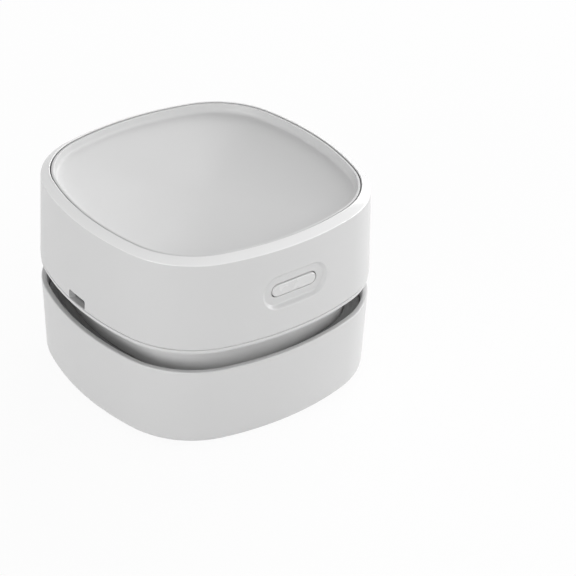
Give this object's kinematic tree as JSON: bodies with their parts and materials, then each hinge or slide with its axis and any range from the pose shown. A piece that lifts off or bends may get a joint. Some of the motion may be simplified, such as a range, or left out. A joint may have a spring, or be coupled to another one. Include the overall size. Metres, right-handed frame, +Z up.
{
  "type": "desktop mini vacuum cleaner",
  "caption": "Palm-sized table vacuum: square-round dust cup with brushed intake, narrow slotted neck, and motor housing with a push button and dished top.",
  "frame": {"origin": "centre of the footprint at table height", "axes": "+Z up out of the dished top, -Y towards the side with the power button, -X towards the side with the charging port"},
  "size_m": [0.085, 0.085, 0.0595],
  "materials": {
    "white_shell": "satin",
    "white_gloss": "gloss",
    "grey_plastic": "satin",
    "black_plastic": "satin",
    "dark_rubber": "dull",
    "dark_nylon": "dull",
    "pale_net": "dull",
    "dark_foam": "dull",
    "bright_steel": "bright",
    "bronze": "bright",
    "brass_lug": "bright",
    "cell_wrap": "gloss",
    "board_green": "satin"
  },
  "bodies": {
    "base": {"dust_cup": "white_shell", "foot_front_left": "dark_rubber", "foot_front_right": "dark_rubber", "foot_back_right": "dark_rubber", "foot_back_left": "dark_rubber", "brush_right": "dark_nylon", "brush_back": "dark_nylon", "brush_left": "dark_nylon", "brush_front": "dark_nylon"},
    "upper_unit": {"upper_housing": "white_shell", "top_cover": "grey_plastic", "fan_cover": "grey_plastic", "fan_housing": "grey_plastic", "motor_end_cap": "black_plastic", "usb_tongue": "black_plastic", "switch_body": "black_plastic", "neck_seal": "dark_rubber", "motor_can": "bright_steel", "battery_tab_negative": "bright_steel", "battery_tab_positive": "bright_steel", "usb_socket": "bright_steel", "cover_screw_1": "bright_steel", "cover_screw_2": "bright_steel", "cover_screw_3": "bright_steel", "cover_screw_4": "bright_steel", "deck_screw_1": "bright_steel", "deck_screw_2": "bright_steel", "deck_screw_3": "bright_steel", "deck_screw_4": "bright_steel", "motor_screw_1": "bright_steel", "motor_screw_2": "bright_steel", "charge_board_screw_1": "bright_steel", "charge_board_screw_2": "bright_steel", "switch_board_screw_1": "bright_steel", "switch_board_screw_2": "bright_steel", "motor_bearing": "bronze", "motor_terminal_left": "brass_lug", "motor_terminal_right": "brass_lug", "battery_cell": "cell_wrap", "charge_board": "board_green", "switch_board": "board_green"},
    "button": {"power_button": "white_gloss", "switch_plunger": "black_plastic"},
    "fan": {"impeller": "black_plastic", "motor_shaft": "bright_steel"},
    "filter": {"filter_frame": "grey_plastic", "filter_net": "pale_net", "filter_foam": "dark_foam"}
  },
  "joints": [
    {"name": "unit_lift", "type": "slide", "parent": "base", "child": "upper_unit", "axis": [0, 0, 1], "range_m": [0, 0.04]},
    {"name": "button_press", "type": "slide", "parent": "upper_unit", "child": "button", "axis": [0, 1, 0], "range_m": [0, 0.0005], "stiffness_N_per_m": 1500},
    {"name": "fan_spin", "type": "hinge", "parent": "upper_unit", "child": "fan", "pos_m": [0, 0, 0.0285], "axis": [0, 0, 1], "continuous": true},
    {"name": "filter_pull", "type": "slide", "parent": "upper_unit", "child": "filter", "axis": [0, 0, -1], "range_m": [0, 0.008]}
  ],
  "couplings": [
    {"joint": "filter_pull", "follows": "unit_lift", "ratio": 0.2}
  ]
}
